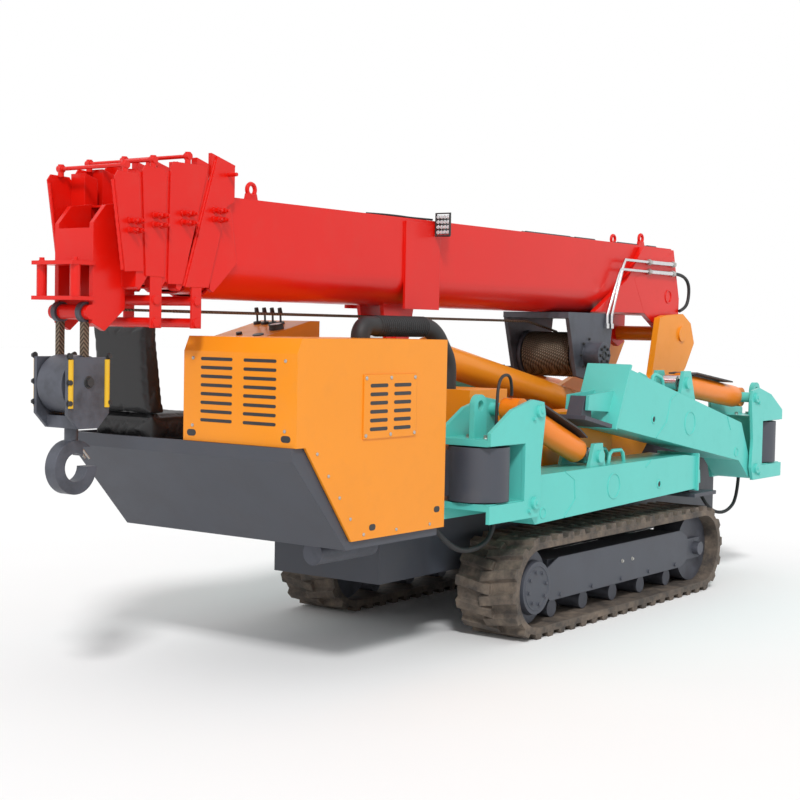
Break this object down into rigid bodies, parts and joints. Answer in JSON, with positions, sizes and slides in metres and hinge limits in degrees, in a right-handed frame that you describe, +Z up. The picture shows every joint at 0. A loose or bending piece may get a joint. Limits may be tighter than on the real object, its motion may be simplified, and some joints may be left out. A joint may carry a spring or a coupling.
{
  "type": "compact outrigger crawler crane",
  "caption": "Compact crawler crane on rubber tracks with a telescopic boom, winch, hook, engine hood, operator's seat and folding outriggers that swing out to steady it.",
  "frame": {"origin": "centre of the machine's box in X and Y, on the ground under the tracks", "axes": "+X from the boom head and seat towards the boom pivot, +Y away from the engine hood, +Z up"},
  "size_m": [5.568, 1.624, 2.29],
  "materials": {
    "boom_red": "gloss paint",
    "body_orange": "gloss paint",
    "outrigger_teal": "gloss paint",
    "cylinder_orange": "gloss paint",
    "rod_steel": "polished",
    "dark_grey": "satin paint",
    "machined_grey": "satin",
    "track_rubber": "matt, dusty",
    "hose_rubber": "ribbed",
    "engine_alloy": "cast",
    "seat_vinyl": "grained vinyl",
    "lamp_black": "moulded"
  },
  "bodies": {
    "chassis": {"main_frame": "dark_grey", "track_left": "track_rubber", "track_right": "track_rubber", "track_frame_left": "dark_grey", "track_frame_right": "dark_grey", "track_wheels_left": "machined_grey", "track_wheels_right": "machined_grey", "slew_ring": "dark_grey", "turret": "body_orange", "rear_tub": "dark_grey", "engine_hood": "body_orange", "hood_side_panel": "body_orange", "engine_block": "engine_alloy", "console": "body_orange", "seat_cushion": "seat_vinyl", "seat_back": "seat_vinyl", "tanks": "body_orange", "intake_hose": "hose_rubber", "exhaust_pipe": "machined_grey", "deck_covers": "body_orange"},
    "boom": {"boom_base": "boom_red", "winch_frame": "machined_grey", "boom_lamp": "lamp_black", "boom_pipes": "rod_steel"},
    "section_2": {"boom_section_2": "boom_red"},
    "section_3": {"boom_section_3": "boom_red"},
    "section_4": {"boom_section_4": "boom_red"},
    "section_5": {"boom_section_5": "boom_red"},
    "drum": {"winch_drum": "machined_grey"},
    "hook_block": {"hook_block": "machined_grey"},
    "hook": {"hook": "machined_grey"},
    "lift_barrel": {"lift_barrel": "body_orange"},
    "lift_rod": {"lift_rod": "rod_steel"},
    "bracket_rear_right": {"outrigger_bracket_rear_right": "outrigger_teal"},
    "beam_rear_right": {"outrigger_beam_rear_right": "outrigger_teal"},
    "barrel_rear_right": {"outrigger_barrel_rear_right": "cylinder_orange"},
    "rod_rear_right": {"outrigger_rod_rear_right": "rod_steel"},
    "foot_rear_right": {"outrigger_foot_rear_right": "dark_grey"},
    "bracket_rear_left": {"outrigger_bracket_rear_left": "outrigger_teal"},
    "beam_rear_left": {"outrigger_beam_rear_left": "outrigger_teal"},
    "barrel_rear_left": {"outrigger_barrel_rear_left": "cylinder_orange"},
    "rod_rear_left": {"outrigger_rod_rear_left": "rod_steel"},
    "foot_rear_left": {"outrigger_foot_rear_left": "dark_grey"},
    "bracket_front_right": {"outrigger_bracket_front_right": "outrigger_teal"},
    "beam_front_right": {"outrigger_beam_front_right": "outrigger_teal"},
    "barrel_front_right": {"outrigger_barrel_front_right": "cylinder_orange"},
    "rod_front_right": {"outrigger_rod_front_right": "rod_steel"},
    "foot_front_right": {"outrigger_foot_front_right": "dark_grey"},
    "bracket_front_left": {"outrigger_bracket_front_left": "outrigger_teal"},
    "beam_front_left": {"outrigger_beam_front_left": "outrigger_teal"},
    "barrel_front_left": {"outrigger_barrel_front_left": "cylinder_orange"},
    "rod_front_left": {"outrigger_rod_front_left": "rod_steel"},
    "foot_front_left": {"outrigger_foot_front_left": "dark_grey"}
  },
  "joints": [
    {"name": "boom_lift", "type": "hinge", "parent": "chassis", "child": "boom", "pos_m": [2.308, 0, 1.559], "axis": [0, 1, 0], "range_deg": [0, 75]},
    {"name": "lift_barrel_turn", "type": "hinge", "parent": "chassis", "child": "lift_barrel", "pos_m": [1.43, 0, 1.11], "axis": [0, 1, 0], "range_deg": [0, 80.52]},
    {"name": "lift_rod_slide", "type": "slide", "parent": "lift_barrel", "child": "lift_rod", "axis": [-0.9813, 0, 0.1923], "range_m": [0, 1.1791]},
    {"name": "telescope", "type": "slide", "parent": "boom", "child": "section_2", "axis": [-1, 0, 0], "range_m": [0, 2.9]},
    {"name": "telescope_3", "type": "slide", "parent": "section_2", "child": "section_3", "axis": [-1, 0, 0], "range_m": [0, 2.901]},
    {"name": "telescope_4", "type": "slide", "parent": "section_3", "child": "section_4", "axis": [-1, 0, 0], "range_m": [0, 2.901]},
    {"name": "telescope_5", "type": "slide", "parent": "section_4", "child": "section_5", "axis": [-1, 0, 0], "range_m": [0, 2.901]},
    {"name": "drum_spin", "type": "hinge", "parent": "boom", "child": "drum", "pos_m": [1.18, 0, 1.425], "axis": [0, 1, 0], "continuous": true},
    {"name": "hook_swing", "type": "hinge", "parent": "section_5", "child": "hook_block", "pos_m": [-2.66, 0, 1.604], "axis": [0, 1, 0], "range_deg": [-30, 30]},
    {"name": "hook_swivel", "type": "hinge", "parent": "hook_block", "child": "hook", "pos_m": [-2.66, 0, 1.1], "axis": [0, 0, 1], "continuous": true},
    {"name": "swing_rear_right", "type": "hinge", "parent": "chassis", "child": "bracket_rear_right", "pos_m": [-0.645, -0.65, 0.87], "axis": [0, 0, -1], "range_deg": [0, 135]},
    {"name": "lower_rear_right", "type": "hinge", "parent": "bracket_rear_right", "child": "beam_rear_right", "pos_m": [-0.365, -0.65, 0.712], "axis": [0, 1, 0], "range_deg": [0, 16.69]},
    {"name": "barrel_rear_right", "type": "hinge", "parent": "bracket_rear_right", "child": "barrel_rear_right", "pos_m": [-0.335, -0.65, 1.165], "axis": [0, 1, 0], "range_deg": [0, 13.1]},
    {"name": "rod_rear_right", "type": "slide", "parent": "barrel_rear_right", "child": "rod_rear_right", "axis": [0.9368, 0, -0.3498], "range_m": [0, 0.1215]},
    {"name": "foot_rear_right", "type": "hinge", "parent": "beam_rear_right", "child": "foot_rear_right", "pos_m": [1.675, -0.65, 0.7], "axis": [0, -1, 0], "range_deg": [0, 16.69]},
    {"name": "swing_rear_left", "type": "hinge", "parent": "chassis", "child": "bracket_rear_left", "pos_m": [-0.645, 0.65, 0.87], "axis": [0, 0, 1], "range_deg": [0, 135]},
    {"name": "lower_rear_left", "type": "hinge", "parent": "bracket_rear_left", "child": "beam_rear_left", "pos_m": [-0.365, 0.65, 0.712], "axis": [0, 1, 0], "range_deg": [0, 16.69]},
    {"name": "barrel_rear_left", "type": "hinge", "parent": "bracket_rear_left", "child": "barrel_rear_left", "pos_m": [-0.335, 0.65, 1.165], "axis": [0, 1, 0], "range_deg": [0, 13.1]},
    {"name": "rod_rear_left", "type": "slide", "parent": "barrel_rear_left", "child": "rod_rear_left", "axis": [0.9368, 0, -0.3498], "range_m": [0, 0.1215]},
    {"name": "foot_rear_left", "type": "hinge", "parent": "beam_rear_left", "child": "foot_rear_left", "pos_m": [1.675, 0.65, 0.7], "axis": [0, -1, 0], "range_deg": [0, 16.69]},
    {"name": "swing_front_right", "type": "hinge", "parent": "chassis", "child": "bracket_front_right", "pos_m": [2.64, -0.65, 0.87], "axis": [0, 0, 1], "range_deg": [0, 135]},
    {"name": "lower_front_right", "type": "hinge", "parent": "bracket_front_right", "child": "beam_front_right", "pos_m": [2.36, -0.65, 0.712], "axis": [0, -1, 0], "range_deg": [0, 29.92]},
    {"name": "barrel_front_right", "type": "hinge", "parent": "bracket_front_right", "child": "barrel_front_right", "pos_m": [2.33, -0.65, 1.165], "axis": [0, -1, 0], "range_deg": [0, 29.03]},
    {"name": "rod_front_right", "type": "slide", "parent": "barrel_front_right", "child": "rod_front_right", "axis": [-0.993, 0, 0.1183], "range_m": [0, 0.2341]},
    {"name": "foot_front_right", "type": "hinge", "parent": "beam_front_right", "child": "foot_front_right", "pos_m": [0.34, -0.65, 1.185], "axis": [0, 1, 0], "range_deg": [0, 18.92]},
    {"name": "swing_front_left", "type": "hinge", "parent": "chassis", "child": "bracket_front_left", "pos_m": [2.64, 0.65, 0.87], "axis": [0, 0, -1], "range_deg": [0, 135]},
    {"name": "lower_front_left", "type": "hinge", "parent": "bracket_front_left", "child": "beam_front_left", "pos_m": [2.36, 0.65, 0.712], "axis": [0, -1, 0], "range_deg": [0, 29.92]},
    {"name": "barrel_front_left", "type": "hinge", "parent": "bracket_front_left", "child": "barrel_front_left", "pos_m": [2.33, 0.65, 1.165], "axis": [0, -1, 0], "range_deg": [0, 29.03]},
    {"name": "rod_front_left", "type": "slide", "parent": "barrel_front_left", "child": "rod_front_left", "axis": [-0.993, 0, 0.1183], "range_m": [0, 0.2341]},
    {"name": "foot_front_left", "type": "hinge", "parent": "beam_front_left", "child": "foot_front_left", "pos_m": [0.34, 0.65, 1.185], "axis": [0, 1, 0], "range_deg": [0, 18.92]}
  ],
  "couplings": [
    {"joint": "lift_barrel_turn", "follows": "boom_lift", "ratio": 1.0709},
    {"joint": "lift_rod_slide", "follows": "boom_lift", "m_per_rad": 0.89925},
    {"joint": "telescope_3", "follows": "telescope", "ratio": 1},
    {"joint": "telescope_4", "follows": "telescope", "ratio": 1},
    {"joint": "telescope_5", "follows": "telescope", "ratio": 1},
    {"joint": "lower_rear_right", "follows": "swing_rear_right", "ratio": 0.1229},
    {"joint": "barrel_rear_right", "follows": "swing_rear_right", "ratio": 0.096306},
    {"joint": "rod_rear_right", "follows": "swing_rear_right", "m_per_rad": 0.051133},
    {"joint": "foot_rear_right", "follows": "swing_rear_right", "ratio": 0.1229},
    {"joint": "lower_rear_left", "follows": "swing_rear_left", "ratio": 0.1229},
    {"joint": "barrel_rear_left", "follows": "swing_rear_left", "ratio": 0.096306},
    {"joint": "rod_rear_left", "follows": "swing_rear_left", "m_per_rad": 0.051133},
    {"joint": "foot_rear_left", "follows": "swing_rear_left", "ratio": 0.1229},
    {"joint": "lower_front_right", "follows": "swing_front_right", "ratio": 0.22086},
    {"joint": "barrel_front_right", "follows": "swing_front_right", "ratio": 0.21429},
    {"joint": "rod_front_right", "follows": "swing_front_right", "m_per_rad": 0.098917},
    {"joint": "foot_front_right", "follows": "swing_front_right", "ratio": 0.13938},
    {"joint": "lower_front_left", "follows": "swing_front_left", "ratio": 0.22086},
    {"joint": "barrel_front_left", "follows": "swing_front_left", "ratio": 0.21429},
    {"joint": "rod_front_left", "follows": "swing_front_left", "m_per_rad": 0.098917},
    {"joint": "foot_front_left", "follows": "swing_front_left", "ratio": 0.13938}
  ]
}
